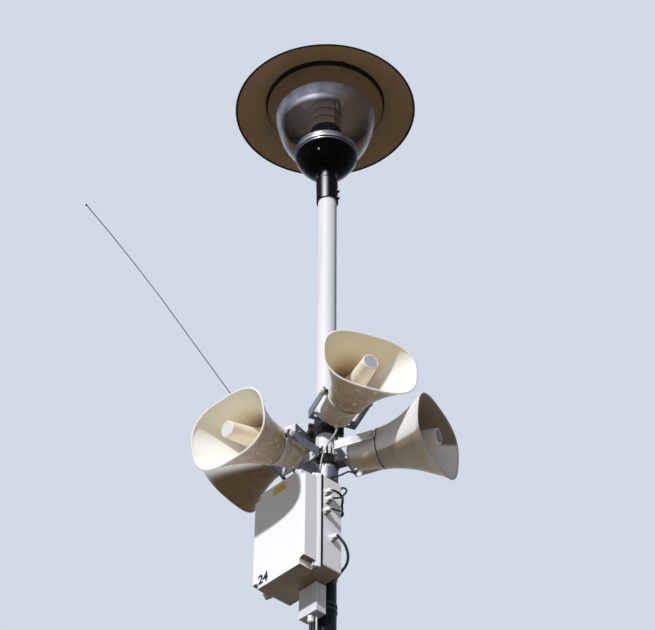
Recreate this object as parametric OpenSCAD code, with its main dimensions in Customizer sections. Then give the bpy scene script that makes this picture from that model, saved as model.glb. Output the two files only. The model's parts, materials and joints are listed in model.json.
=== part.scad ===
/* [Column] */
// Side of the square base plate
plate_w = 280; // [240:5:320]
// Thickness of the base plate
plate_t = 20; // [16:1:30]
// Distance between the anchor holes along each side
bolt_spacing = 200; // [180:5:220]
// Diameter of the anchor holes
bolt_hole_d = 24; // [20:1:28]
// Outer diameter of the wide base section
base_d = 114.3; // [108:0.1:140]
// Height of the shoulder where the base section ends
shoulder_z = 1400; // [1000:50:1800]
// Outer diameter of the dark lower tube
lower_d = 66; // [64:1:76]
// Outer diameter of the white upper tube
upper_d = 60.3; // [48:0.1:60.3]
// Height where the dark tube ends
lower_top_z = 4560; // [4500:10:4600]
// Height of the underside of the lamp socket
socket_z = 5900; // [5800:10:6000]

/* [Lamp] */
// Lean of the lamp away from the upright tube, in degrees
lamp_lean = 1.2; // [0:0.1:2]
// Radius of the brim of the hat
hat_r = 301; // [260:1:320]
// Height of the brim above the bottom of the socket
brim_z = 425; // [415:1:440]
// Radius of the recess under the hat
recess_r = 197; // [190:1:215]
// Radius of the bright band on the rim of the black base bowl
bowl_r = 103; // [98:1:110]
// Height of the rim of the base bowl above the bottom of the socket
bowl_z = 204; // [200:1:208]
// Largest radius of the clear bowl
glass_r = 164.5; // [160:0.5:170]

/* [Horns] */
// Half width of the horn mouth
mouth_a = 143.2; // [130:0.2:150]
// Half height of the horn mouth
mouth_b = 96.8; // [80:0.2:105]
// Exponent that sets how square the mouth is
mouth_n = 2.82; // [2:0.02:4]
// Distance from the tilt axis to the mouth
flare_len = 181; // [150:1:200]
// Radius of the flare at its round seam
seam_r = 61; // [50:1:62]
// Length of the driver housing behind the tilt axis
driver_len = 96; // [80:1:96]
// Distance from the stirrup's back to the tilt axis
arm_len = 112; // [112:1:130]
// Half width of the stirrup, to the middle of its strap
arm_half = 72; // [72:0.5:80]

/* [Cabinet] */
// Width of the cabinet
cab_w = 213; // [180:1:240]
// Height of the cabinet's base
cab_h = 308; // [280:1:340]
// Height of the cabinet's lid
lid_h = 322; // [300:1:340]
// Depth of the cabinet with its lid
cab_d = 134; // [120:1:150]
// Height of the cabinet's underside
cab_z = 4387; // [4387:1:4400]
// Compass angle of the cabinet's front, from the X axis
cab_az = -137.3; // [-150:0.1:-120]

/* [Antenna] */
// Diameter of the whip
whip_d = 3; // [2:0.5:5]

/* [Hidden] */

// Where each horn sits: compass angle, distance of its tilt axis from the mast, height, nod
TOP = [-68.2, 159, 4974, 1.7];
LEFT = [-134.7, 214, 4796, 13.7];
RIGHT = [-26.2, 176.5, 4842, 4.8];
BACK = [145.5, 171, 4960, 0.5];

// Where each gland sits on the cabinet's right side: depth from its back, height
GLANDS = [[58, 246], [54, 222], [61, 181], [35, 103]];

mast_r = upper_d / 2;
lower_r = lower_d / 2;
tube_wall = 2.9;
seat_depth = 60;
cab_back = 38;
cab_top = cab_z + cab_h;
base_depth = 76;
lid_gap = 3;
lid_lip = 15;
lid_mid = 145;
lid_corner_r = 16;
screw_in = 9.5;
notch_r = 14;
gland_len = 22;
strap_w = 30;
strap_t = 3;
pin_r = 4;
pin_gap = 0.05;
side_gap = 0.3;
boss_r = 9.5;
seam_x = 10;
flare_wall = 3;
lip_r = 3.5;
plug_tip_r = 24.5;
sides = 48;
lead_r = 2.5;
$fn = 64;

// A point by its distance out from the mast, to the cabinet's right, and its height
function by_cabinet(out, right, z) = [
  out * cos(cab_az) - right * sin(cab_az),
  out * sin(cab_az) + right * cos(cab_az),
  z
];

// Routes of the cables
TOP_LEAD = [
  [26, -65, 4908], [19, -51, 4893], [12, -44, 4877], [4, -43, 4858], [0, -43, 4835], [0, -43, 4770],
  by_cabinet(28, 60, 4708), by_cabinet(32, 100, 4686), by_cabinet(50, 138, 4668),
  by_cabinet(78, 146, 4646), by_cabinet(96, 131, 4634)
];
LEFT_LEAD = [
  [-86, -87, 4736], [-75, -82, 4722], [-56, -79, 4715], [-30, -82, 4709],
  by_cabinet(64, 70, 4700), by_cabinet(60, 100, 4699), by_cabinet(62, 118, 4684),
  by_cabinet(70, 132, 4662), by_cabinet(84, 138, 4643), by_cabinet(95, 131, 4632)
];
RIGHT_LEAD = [
  [78, -38, 4778], [70, -38, 4762], [58, -42, 4744], [45, -50, 4730],
  by_cabinet(15, 85, 4700), by_cabinet(32, 114, 4662), by_cabinet(50, 140, 4636),
  by_cabinet(76, 146, 4614), by_cabinet(92, 131, 4609)
];
BACK_LEAD = [
  [-70, 48, 4891], [-53, 46, 4866], [-42, 40, 4832], [-38, 30, 4800], [-20, 42, 4770], [12, 42, 4745],
  [38, 22, 4722], by_cabinet(-18, 50, 4700), by_cabinet(10, 82, 4662), by_cabinet(32, 116, 4622),
  by_cabinet(56, 142, 4592), by_cabinet(84, 146, 4574), by_cabinet(99, 131, 4568)
];
FEED_LOOP = [
  by_cabinet(73, 131, 4490), by_cabinet(68, 142, 4488), by_cabinet(60, 149, 4472), by_cabinet(52, 150, 4448),
  by_cabinet(42, 138, 4424), by_cabinet(32, 118, 4410), by_cabinet(24, 92, 4405), by_cabinet(14, 70, 4412),
  by_cabinet(8, 52, 4418), by_cabinet(4, 39, 4420)
];
BOX_LEADS = [
  [
    by_cabinet(58, 8, 4269.5), by_cabinet(58, 8, 4240), by_cabinet(55, 8, 4205),
    by_cabinet(47, 9, 4183), by_cabinet(40, 10, 4177)
  ],
  [
    by_cabinet(52, 24, 4291.5), by_cabinet(52, 24, 4250), by_cabinet(48, 21, 4205),
    by_cabinet(44, 16, 4186), by_cabinet(39, 14, 4178)
  ]
];
WHIP = [
  [-139, 0, 4824], [-170, 0, 4884], [-222, 0, 4985], [-286, 0, 5109], [-358, 0, 5230], [-431, 0, 5351],
  [-516, 0, 5492], [-602, 0, 5628], [-689, 0, 5761], [-774, 0, 5885]
];

// Half sizes of the flare at t, from 0 at the seam to 1 at the mouth
function widen(t, bend) = 0.15 * t + 0.85 * pow(t, bend);
function blend(from, to, t) = from + (to - from) * t;
function signed_pow(v, e) = sign(v) * pow(abs(v), e);
function section(x, a, b, n) = [
  for (i = [0 : sides - 1])
    let (w = 360 * i / sides)
      [x, a * signed_pow(cos(w), 2 / n), b * signed_pow(sin(w), 2 / n)]
];
function flare_ring(t, inset) = section(
  blend(seam_x, flare_len - lip_r, t),
  blend(seam_r, mouth_a, widen(t, 1.7)) - inset,
  blend(seam_r, mouth_b, widen(t, 2.4)) - inset,
  blend(2, mouth_n, min(1, t * 1.4))
);

// A closed skin over rings of points, whose last ring joins the first
module ring_skin(rings) {
  count = len(rings);
  n = len(rings[0]);
  points = [for (r = rings) each r];
  faces = [
    for (k = [0 : count - 1], i = [0 : n - 1])
      let (a = k * n + i, b = k * n + (i + 1) % n)
      let (c = ((k + 1) % count) * n + (i + 1) % n, d = ((k + 1) % count) * n + i)
        each [[a, b, c], [a, c, d]]
  ];
  polyhedron(points, faces);
}

// A tube swept along a route, with rings square to the mean direction at each point
function unit(v) = v / norm(v);
function heading(route, i) = unit(
  (i < len(route) - 1 ? unit(route[i + 1] - route[i]) : [0, 0, 0])
  + (i > 0 ? unit(route[i] - route[i - 1]) : [0, 0, 0])
);
function across(d) = unit(cross(d, abs(d.z) < 0.9 ? [0, 0, 1] : [0, 1, 0]));
function carried(route, i) = i == 0
  ? across(heading(route, 0))
  : let (d = heading(route, i), p = carried(route, i - 1)) unit(p - d * (p * d));
function tube_ring(route, i, r, n) =
  let (d = heading(route, i), p = carried(route, i), q = cross(d, p))
    [for (k = [0 : n - 1]) route[i] + r * (p * cos(360 * k / n) + q * sin(360 * k / n))];

module swept(route, r, n = 8) {
  last = len(route) - 1;
  points = [for (i = [0 : last]) each tube_ring(route, i, r, n)];
  skin = [
    for (i = [0 : last - 1], k = [0 : n - 1])
      let (a = i * n + k, b = i * n + (k + 1) % n)
        each [[a, b + n, b], [a, a + n, b + n]]
  ];
  first_end = [for (k = [0 : n - 1]) k];
  last_end = [for (k = [n - 1 : -1 : 0]) last * n + k];
  polyhedron(points, concat(skin, [first_end, last_end]));
}

// Frames of reference
module lamp_frame() {
  translate([0, 0, socket_z])
    rotate([0, -lamp_lean, 0])
      children();
}

module horn_frame(place) {
  rotate([0, 0, place[0]])
    translate([place[1], 0, place[2]])
      rotate([0, place[3], 0])
        children();
}

module stirrup_frame(place) {
  rotate([0, 0, place[0]])
    translate([place[1], 0, place[2]])
      children();
}

module cabinet_frame() {
  rotate([0, 0, cab_az])
    translate([cab_back, 0, cab_z])
      children();
}

// Shapes used more than once
module ring(outer, inner, h) {
  difference() {
    cylinder(r = outer, h = h);
    translate([0, 0, -1])
      cylinder(r = inner, h = h + 2);
  }
}

module hex_bolt(r, head, washer = 1.5) {
  cylinder(r = r * 1.3, h = washer);
  translate([0, 0, washer])
    cylinder(r = r, h = head, $fn = 6);
}

// Column
module base_plate() {
  color("#1d2127")
    difference() {
      translate([-plate_w / 2, -plate_w / 2, 0])
        cube([plate_w, plate_w, plate_t]);
      for (x = [-1, 1], y = [-1, 1])
        translate([x * bolt_spacing / 2, y * bolt_spacing / 2, -1])
          cylinder(d = bolt_hole_d, h = plate_t + 2);
    }
}

module base_shaft() {
  wall = 4;
  r = base_d / 2;
  color("#1d2127")
    difference() {
      rotate_extrude()
        polygon([
          [r - wall, plate_t], [r, plate_t], [r, shoulder_z],
          [lower_r, shoulder_z + 90], [lower_r - wall, shoulder_z + 90],
          [lower_r - wall, shoulder_z + 82], [r - wall, shoulder_z - 6]
        ]);
      translate([0, -r, 600])
        cube([82, 60, 320], center = true);
    }
}

module service_door() {
  r = base_d / 2;
  color("#1d2127")
    intersection() {
      translate([0, 0, 442])
        ring(r, r - 4, 316);
      translate([0, -r, 600])
        cube([80, 60, 316], center = true);
    }
}

module lower_mast() {
  color("#1d2127")
    rotate_extrude()
      polygon([
        [lower_r - 4.5, shoulder_z + 90], [lower_r, shoulder_z + 90],
        [lower_r, lower_top_z], [mast_r, lower_top_z],
        [mast_r, lower_top_z - seat_depth], [lower_r - 4.5, lower_top_z - seat_depth]
      ]);
}

module upper_mast() {
  color("#e8e9ec")
    translate([0, 0, lower_top_z - seat_depth])
      ring(mast_r, mast_r - tube_wall, socket_z + 95 - lower_top_z + seat_depth);
}

// Lamp
module lamp_socket() {
  sleeve_r = 35.2;
  bore_r = 33.2;
  neck_r = 26;
  color("#15161a")
    lamp_frame() {
      rotate_extrude()
        polygon([
          [bore_r, 0], [sleeve_r, 0], [sleeve_r, 88], [sleeve_r - 1.5, 90], [sleeve_r - 1.5, 92], [sleeve_r, 94],
          [sleeve_r, 98], [neck_r, 106], [neck_r, 126], [0, 126], [0, 96], [bore_r, 96]
        ]);
      for (z = [15, 45])
        rotate([0, 90, -15])
          translate([-z, 0, sleeve_r - 1])
            hex_bolt(6, 5);
      for (w = [20 : 90 : 290])
        rotate([0, 90, w])
          translate([-118, 0, neck_r - 1])
            cylinder(r = 3, h = 4);
    }
}

module lamp_base_bowl() {
  color("#15161a")
    lamp_frame()
      rotate_extrude()
        polygon([
          [0, 126], [30, 126], [34, 132], [58, 146], [81, 168], [95, bowl_z - 14], [bowl_r - 1.5, bowl_z],
          [bowl_r - 14, bowl_z], [bowl_r - 14, bowl_z + 16], [0, bowl_z + 16]
        ]);
}

module bowl_ring() {
  color("#b9bcc2")
    lamp_frame()
      translate([0, 0, bowl_z])
        rotate_extrude()
          polygon([
            [bowl_r - 14, 0], [bowl_r - 1.5, 0], [bowl_r + 0.5, 2], [bowl_r + 0.5, 7], [bowl_r - 0.5, 9],
            [bowl_r - 0.5, 18], [bowl_r + 1.5, 21], [bowl_r + 1.5, 26], [bowl_r, 29], [bowl_r - 14, 29]
          ]);
}

module lamp_inner_cap() {
  color("#1b1b1d")
    lamp_frame()
      rotate_extrude()
        polygon([[0, bowl_z + 16], [56, bowl_z + 16], [56, 304], [53, 314], [50, 323], [0, 323]]);
}

module louvre_stack() {
  segments = 4;
  first_z = 323;
  pitch = 31.75;
  color("#7a6250")
    lamp_frame()
      for (i = [0 : segments - 1])
        translate([0, 0, first_z + i * pitch])
          rotate_extrude()
            polygon([[0, 0], [47.5, 0], [52, 3], [52, pitch - 4], [47.5, pitch], [0, pitch]]);
}

module clear_bowl() {
  wall = 3;
  outer = [
    [bowl_r - 2, bowl_z + 29], [120, 255], [136, 282], [148, 311], [156, 341], [161, 371], [glass_r, 400]
  ];
  inner = [for (i = [len(outer) - 1 : -1 : 0]) [outer[i][0] - wall, outer[i][1]]];
  color("#cfd6de", 0.35)
    lamp_frame()
      rotate_extrude($fn = 96)
        polygon(concat(outer, inner));
}

module hat_pan() {
  pan_in = glass_r + 0.5;
  color("#5d4c3a")
    lamp_frame() {
      rotate_extrude($fn = 96)
        polygon([
          [0, 450], [recess_r - 6, 450], [pan_in + 2.5, 402.5], [pan_in - 6, 402.5], [pan_in - 6, 400],
          [pan_in, 400], [pan_in, 397.5], [recess_r, 452], [recess_r, 461.4], [recess_r - 3, 462.4],
          [recess_r - 3, 454], [0, 454]
        ]);
      rotate([0, 0, -73])
        translate([recess_r - 1, -6, 452])
          cube([9, 12, 6]);
    }
}

module lamp_hat() {
  sheet = 2.5;
  outside = [
    [hat_r, brim_z], [hat_r, brim_z + sheet], [recess_r, 465], [recess_r - 13, 484],
    [160, 502], [110, 518], [50, 526], [0, 528]
  ];
  inside = [
    [0, 525.5], [50, 523.5], [109, 515.5], [158, 499.5], [recess_r - 15.5, 482],
    [recess_r - 3, 462.5], [hat_r - 1, brim_z]
  ];
  color("#54463a")
    lamp_frame()
      rotate_extrude($fn = 128)
        polygon(concat(outside, inside));
}

// Brackets on the mast
module mast_core(z, h) {
  translate([0, 0, z])
    cylinder(r = mast_r, h = h);
}

module mast_clamp(z, h, wall) {
  translate([0, 0, z])
    ring(mast_r + wall, mast_r, h);
}

module arm_block(place, w, h) {
  base_r = place[1] - arm_len - strap_t / 2;
  rotate([0, 0, place[0]])
    translate([mast_r + 2, -w / 2, place[2] - h / 2])
      cube([base_r - mast_r - 2, w, h]);
}

// Two split ears with their bolts, on opposite sides of a clamp
module clamp_ears(az, z, outer) {
  ear_t = 14;
  ear_h = 34;
  for (turn = [az, az + 180])
    rotate([0, 0, turn])
      translate([outer - 3, 0, z]) {
        difference() {
          translate([0, -ear_t / 2, -ear_h / 2])
            cube([20, ear_t, ear_h]);
          translate([5, -1, -ear_h / 2 - 1])
            cube([20, 2, ear_h + 2]);
        }
        for (dz = [-9, 9], s = [-1, 1])
          translate([12, s * (ear_t / 2 - 1), dz])
            rotate([-s * 90, 0, 0])
              hex_bolt(5.5, 4.5);
        for (dz = [-9, 9])
          translate([12, -ear_t / 2 + 1, dz])
            rotate([-90, 0, 0])
              cylinder(r = 3, h = ear_t - 2);
      }
}

module upper_clamp() {
  wall = 5.3;
  color("#20242b")
    difference() {
      union() {
        mast_clamp(4938, 62, wall);
        clamp_ears(5, 4969, mast_r + wall);
        arm_block(TOP, 34, 40);
        arm_block(BACK, 34, 40);
      }
      mast_core(4930, 80);
    }
}

module lower_clamp() {
  wall = 9;
  color("#20242b")
    difference() {
      union() {
        mast_clamp(4828, 50, wall);
        clamp_ears(60, 4853, mast_r + wall);
        arm_block(RIGHT, 34, 28);
      }
      mast_core(4820, 70);
    }
}

module left_arm() {
  color("#8b9096")
    difference() {
      union() {
        mast_clamp(4772, 42, 7);
        arm_block(LEFT, 30, 30);
      }
      mast_core(4760, 60);
    }
}

module steel_bands() {
  color("#c8ccd2")
    translate([0, 0, 4889])
      ring(mast_r + 1.5, mast_r, 20);
  color("#15161a")
    for (z = [4328, 4346])
      translate([0, 0, z])
        ring(lower_r + 2, lower_r, 8);
}

// Stirrups
module stirrup(place) {
  half = arm_half + strap_t / 2;
  base_face = -arm_len + strap_t / 2;
  color("#b4b7bb")
    stirrup_frame(place)
      difference() {
        union() {
          translate([base_face - strap_t, -half, -strap_w / 2])
            cube([strap_t, 2 * half, strap_w]);
          for (s = [-1, 1]) {
            translate([base_face - strap_t, s * arm_half - strap_t / 2, -strap_w / 2])
              cube([arm_len + strap_t / 2, strap_t, strap_w]);
            translate([0, s * arm_half + strap_t / 2, 0])
              rotate([90, 0, 0])
                cylinder(d = strap_w, h = strap_t);
          }
          translate([base_face, 0, 0])
            rotate([0, 90, 0])
              hex_bolt(7.5, 4);
        }
        rotate([90, 0, 0])
          translate([0, 0, -half - 1])
            cylinder(r = pin_r + pin_gap, h = 2 * half + 2);
        for (s = [-1, 1])
          translate([base_face - strap_t - 1, s * 52, 0])
            rotate([0, 90, 0])
              cylinder(d = 9, h = strap_t + 2);
      }
}

module stirrup_top() { stirrup(TOP); }
module stirrup_left() { stirrup(LEFT); }
module stirrup_right() { stirrup(RIGHT); }
module stirrup_back() { stirrup(BACK); }

// Horns
module flare(place) {
  steps = 9;
  outer = [for (i = [0 : steps]) flare_ring(i / steps, 0)];
  lip = [
    for (w = [30 : 60 : 150])
      section(
        flare_len - lip_r + lip_r * sin(w),
        mouth_a - flare_wall / 2 + lip_r * cos(w),
        mouth_b - flare_wall / 2 + lip_r * cos(w),
        mouth_n
      )
  ];
  inner = [for (i = [steps : -1 : 0]) flare_ring(i / steps, flare_wall)];
  color("#d9c9ac")
    horn_frame(place)
      ring_skin(concat(outer, lip, inner));
}

module driver(place) {
  arm_in = arm_half - strap_t / 2;
  arm_out = arm_half + strap_t / 2;
  color("#8d7d65")
    horn_frame(place) {
      rotate([0, -90, 0])
        rotate_extrude()
          polygon([
            [0, -seam_x], [seam_r - 2, -seam_x], [seam_r - 2, -6], [seam_r, -5.5], [seam_r, -1], [60, 0],
            [56, 12], [52, 30], [51, 50], [50, 70], [49, driver_len - 14], [45, driver_len - 8],
            [38, driver_len - 4], [29, driver_len - 1], [24, driver_len], [0, driver_len]
          ]);
      translate([-74, 0, -60])
        cylinder(r = 6, h = 20);
      translate([-74, 0, -54])
        cylinder(r = 8, h = 10, $fn = 6);
      for (s = [-1, 1])
        rotate([s * 90, 0, 0]) {
          cylinder(r = boss_r, h = arm_in - side_gap);
          cylinder(r = pin_r, h = arm_out + side_gap + 1);
          translate([0, 0, arm_out + side_gap])
            hex_bolt(7.5, 5);
        }
    }
}

module plug(place) {
  color("#d9c9ac")
    horn_frame(place)
      rotate([0, 90, 0])
        rotate_extrude()
          polygon([
            [0, seam_x], [47, seam_x], [45, 28], [29, 83], [plug_tip_r, flare_len - 2],
            [plug_tip_r - 1.5, flare_len], [20.5, flare_len], [20, flare_len - 1], [19.5, flare_len], [0, flare_len]
          ]);
}

module horn_top_flare() { flare(TOP); }
module horn_top_driver() { driver(TOP); }
module horn_top_plug() { plug(TOP); }
module horn_left_flare() { flare(LEFT); }
module horn_left_driver() { driver(LEFT); }
module horn_left_plug() { plug(LEFT); }
module horn_right_flare() { flare(RIGHT); }
module horn_right_driver() { driver(RIGHT); }
module horn_right_plug() { plug(RIGHT); }
module horn_back_flare() { flare(BACK); }
module horn_back_driver() { driver(BACK); }
module horn_back_plug() { plug(BACK); }

// Cabinet
// An upright panel with round corners, its back at a depth of x
module panel(w, h, r, x, t, mid = cab_h / 2) {
  translate([x, 0, mid])
    rotate([90, 0, 90]) {
      translate([-w / 2 + r, -h / 2, 0])
        cube([w - 2 * r, h, t]);
      translate([-w / 2, -h / 2 + r, 0])
        cube([w, h - 2 * r, t]);
      for (i = [-1, 1], j = [-1, 1])
        translate([i * (w / 2 - r), j * (h / 2 - r), 0])
          cylinder(r = r, h = t, $fn = 32);
    }
}

module cabinet_base() {
  color("#e4e5e8")
    cabinet_frame() {
      panel(cab_w, cab_h, 9, 0, base_depth);
      panel(cab_w - 8, cab_h - 8, 6, base_depth, lid_gap);
    }
}

module cabinet_lid() {
  lid_x = base_depth + lid_gap;
  rise_x = lid_x + lid_lip;
  draft = 1.5;
  color("#f2f2f4")
    cabinet_frame() {
      panel(cab_w, lid_h, lid_corner_r, lid_x, lid_lip, lid_mid);
      difference() {
        hull() {
          panel(cab_w, lid_h, lid_corner_r, rise_x, 1, lid_mid);
          panel(cab_w - 2 * draft, lid_h - 2 * draft, lid_corner_r, cab_d - 1, 1, lid_mid);
        }
        lid_corners(rise_x)
          cylinder(r = notch_r, h = cab_d);
      }
      lid_corners(rise_x)
        cylinder(r = 6, h = 5);
    }
}

// Something at each corner of the lid, standing on a plane at a depth of x
module lid_corners(x) {
  for (i = [-1, 1], j = [-1, 1])
    translate([x, i * (cab_w / 2 - screw_in), lid_mid + j * (lid_h / 2 - screw_in)])
      rotate([0, 90, 0])
        children();
}

module cabinet_bracket() {
  color("#a9acb1")
    for (z = [4440, 4650]) {
      r = z < lower_top_z ? lower_r : mast_r;
      difference() {
        union() {
          translate([0, 0, z])
            ring(r + 2.5, r, 30);
          rotate([0, 0, cab_az])
            translate([r, -80, z])
              cube([cab_back - r, 160, 30]);
        }
        translate([0, 0, z - 5])
          cylinder(r = r, h = 40);
      }
    }
}

module junction_box() {
  color("#d4d5d9")
    rotate([0, 0, cab_az]) {
      translate([lower_r + 2, -28, 4292])
        cube([24, 71, 93]);
      translate([lower_r + 26, -26, 4294])
        cube([2, 67, 89]);
      translate([lower_r + 28, -28, 4292])
        cube([10, 71, 93]);
    }
}

module cable_glands() {
  color("#e4e5e8")
    cabinet_frame()
      for (p = GLANDS)
        translate([p[0], cab_w / 2, p[1]])
          rotate([-90, 0, 0]) {
            cylinder(r = 11.5, h = 8, $fn = 6);
            cylinder(r = 9, h = gland_len - 3);
            translate([0, 0, gland_len - 3])
              cylinder(r1 = 9, r2 = 6, h = 3);
          }
  color("#e4e5e8")
    rotate([0, 0, cab_az])
      translate([58, 8, 4270]) {
        cylinder(r1 = 6, r2 = 9, h = 4);
        translate([0, 0, 4])
          cylinder(r = 9, h = 18);
        translate([0, 0, 14])
          cylinder(r = 11, h = 8, $fn = 6);
      }
}

// Antenna
module antenna_base() {
  ball_r = 8;
  color("#15161a")
    translate([-67, 0, cab_top]) {
      cylinder(r = 10.5, h = 8, $fn = 6);
      translate([0, 0, ball_r + 1])
        sphere(r = ball_r);
      translate([0, 0, ball_r + 1])
        rotate([0, -31, 0]) {
          cylinder(r = 5.5, h = 139);
          cylinder(r = 7, h = 26);
        }
    }
}

module antenna_whip() {
  color("#15161a") {
    swept(WHIP, whip_d / 2);
    translate(WHIP[len(WHIP) - 1])
      sphere(r = 3.5, $fn = 24);
  }
}

// Cables
module horn_leads() {
  color("#15161a")
    for (route = [TOP_LEAD, LEFT_LEAD, RIGHT_LEAD, BACK_LEAD])
      swept(route, lead_r);
}

module cabinet_loops() {
  color("#15161a") {
    swept(FEED_LOOP, 4);
    rotate([0, 0, cab_az])
      translate([4, lower_r, 4420])
        rotate([-90, 0, 0])
          cylinder(r = 9, h = 4);
  }
}

module column_leads() {
  color("#15161a") {
    swept(BOX_LEADS[0], 5);
    swept(BOX_LEADS[1], lead_r);
    rotate([0, 0, cab_az])
      translate([lower_r, 11, 4175])
        rotate([0, 90, 0])
          cylinder(r = 14, h = 4);
  }
}

base_plate();
base_shaft();
service_door();
lower_mast();
upper_mast();
lamp_socket();
lamp_base_bowl();
bowl_ring();
lamp_inner_cap();
louvre_stack();
clear_bowl();
hat_pan();
lamp_hat();
upper_clamp();
lower_clamp();
left_arm();
steel_bands();
stirrup_top();
stirrup_left();
stirrup_right();
stirrup_back();
horn_top_flare();
horn_top_driver();
horn_top_plug();
horn_left_flare();
horn_left_driver();
horn_left_plug();
horn_right_flare();
horn_right_driver();
horn_right_plug();
horn_back_flare();
horn_back_driver();
horn_back_plug();
cabinet_base();
cabinet_lid();
cabinet_bracket();
junction_box();
cable_glands();
antenna_base();
antenna_whip();
horn_leads();
cabinet_loops();
column_leads();
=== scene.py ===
import json
import math

import bmesh
import bpy
from mathutils import Matrix, Vector


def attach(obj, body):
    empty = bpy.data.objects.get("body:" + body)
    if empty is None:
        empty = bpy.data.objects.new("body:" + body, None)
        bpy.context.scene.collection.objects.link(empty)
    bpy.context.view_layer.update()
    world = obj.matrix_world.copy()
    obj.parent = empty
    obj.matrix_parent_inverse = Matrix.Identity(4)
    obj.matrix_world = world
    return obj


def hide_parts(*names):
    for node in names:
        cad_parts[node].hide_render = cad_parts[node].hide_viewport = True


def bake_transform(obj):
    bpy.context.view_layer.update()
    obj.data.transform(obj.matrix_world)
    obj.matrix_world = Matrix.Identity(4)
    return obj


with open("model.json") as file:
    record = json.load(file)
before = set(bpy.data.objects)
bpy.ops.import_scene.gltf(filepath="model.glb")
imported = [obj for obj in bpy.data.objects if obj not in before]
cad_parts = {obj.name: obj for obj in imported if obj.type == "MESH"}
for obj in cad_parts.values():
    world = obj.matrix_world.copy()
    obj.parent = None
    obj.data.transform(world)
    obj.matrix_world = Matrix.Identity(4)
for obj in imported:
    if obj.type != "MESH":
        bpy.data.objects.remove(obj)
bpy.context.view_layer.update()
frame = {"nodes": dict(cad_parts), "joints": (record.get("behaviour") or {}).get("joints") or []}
joints = {joint["name"]: joint for joint in frame["joints"]}
print("frame loaded:", len(frame["nodes"]), "nodes")


# Shader maths

def join(tree, socket, value):
    if isinstance(value, Wire):
        tree.links.new(value.socket, socket)
    elif isinstance(value, tuple) and len(value) == 3 and socket.type == "RGBA":
        socket.default_value = (*value, 1)
    else:
        socket.default_value = value


class Wire:  # a node's output, which adds Math nodes when it stands in an expression
    def __init__(self, graph, socket):
        self.graph = graph
        self.socket = socket

    def __add__(self, other):
        return self.graph.maths("ADD", self, other)

    def __radd__(self, other):
        return self.graph.maths("ADD", other, self)

    def __sub__(self, other):
        return self.graph.maths("SUBTRACT", self, other)

    def __rsub__(self, other):
        return self.graph.maths("SUBTRACT", other, self)

    def __mul__(self, other):
        return self.graph.maths("MULTIPLY", self, other)

    def __pow__(self, other):
        return self.graph.maths("POWER", self, other)


class Graph:  # a node tree
    def __init__(self, tree):
        self.tree = tree

    def add(self, kind, settings=None, sockets=None, out=0):
        node = self.tree.nodes.new("ShaderNode" + kind)
        for name, value in (settings or {}).items():
            setattr(node, name, value)
        for name, value in (sockets or {}).items():
            join(self.tree, node.inputs[name], value)
        return Wire(self, node.outputs[out])

    def maths(self, operation, first, second):
        return self.add("Math", {"operation": operation}, {0: first, 1: second})

    def mix(self, share, first, second):
        return self.add("Mix", {"data_type": "RGBA"}, {0: share, 6: first, 7: second}, out=2)


class Finish(Graph):  # a material's node tree with its principled shader
    def __init__(self, name):
        self.material = bpy.data.materials.new(name)
        self.material.use_nodes = True
        super().__init__(self.material.node_tree)
        self.shader = self.tree.nodes["Principled BSDF"]
        self.place = self.add("TexCoord", out="Object")

    def feed(self, **values):
        for name, value in values.items():
            join(self.tree, self.shader.inputs[name.replace("_", " ")], value)

    def noise(self, scale, detail=4.0, stretch=None, rough=0.55):
        place = self.place
        if stretch:
            place = self.add("Mapping", sockets={"Vector": place, "Scale": (1, 1, stretch)})
        values = {"Vector": place, "Scale": scale, "Detail": detail, "Roughness": rough}
        return self.add("TexNoise", sockets=values)

    def patchy(self, scale, detail, low, high, **more):  # noise between its limits
        return self.ease(self.noise(scale, detail, **more), low, high)

    def ease(self, value, low, high):  # 0 below low and 1 above high
        limits = {"Value": value, "From Min": low, "From Max": high}
        return self.add("MapRange", {"interpolation_type": "SMOOTHSTEP"}, limits)

    def towards(self, direction):  # 1 where the surface faces the direction, -1 where it faces away
        normal = self.add("NewGeometry", out="Normal")
        sockets = {0: normal, 1: direction}
        return self.add("VectorMath", {"operation": "DOT_PRODUCT"}, sockets, out="Value")

    def toSun(self):  # towards the key light, where sunlight is painted into the colour
        return self.towards(studio["keyFrom"].normalized())

    def spot(self, axis):
        return self.add("SeparateXYZ", sockets={"Vector": self.place}, out=axis)

    def reading(self, name):
        return self.add("Attribute", {"attribute_name": name}, out="Fac")

    def grimyAndShadedUnder(self, shell, grime, share=1.0):  # what faces down is painted darker: shade, with some grime
        return self.mix(self.ease(self.towards(ways["down"]), 0.35, 0.80) * share, shell, grime)

    def bump(self, scale, detail, strength):
        sockets = {"Height": self.noise(scale, detail), "Strength": strength, "Distance": 0.001}
        self.feed(Normal=self.add("Bump", sockets=sockets, out="Normal"))

    def colour(self, share, first, second):
        self.feed(Base_Color=self.mix(share, first, second))


ways = {"up": (0, 0, 1), "down": (0, 0, -1), "right": (1, 0, 0)}


# Camera, light and floor

shot = {
    "place": (0.0026, -4.95, 1.056),
    "pitch": math.radians(131.4),
    "roll": 0.0062,
    "sensor": 36.0,
    "lens": 118.17,
}


def addCamera():
    lens = bpy.data.cameras.new("shotCamera")
    lens.sensor_width = shot["sensor"]
    lens.lens = shot["lens"]
    lens.clip_start = 0.05
    lens.clip_end = 200
    camera = bpy.data.objects.new("shotCamera", lens)
    turn = Matrix.Rotation(shot["pitch"], 4, "X") @ Matrix.Rotation(shot["roll"], 4, "Z")
    camera.matrix_world = Matrix.Translation(shot["place"]) @ turn
    bpy.context.collection.objects.link(camera)
    bpy.context.scene.camera = camera


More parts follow.
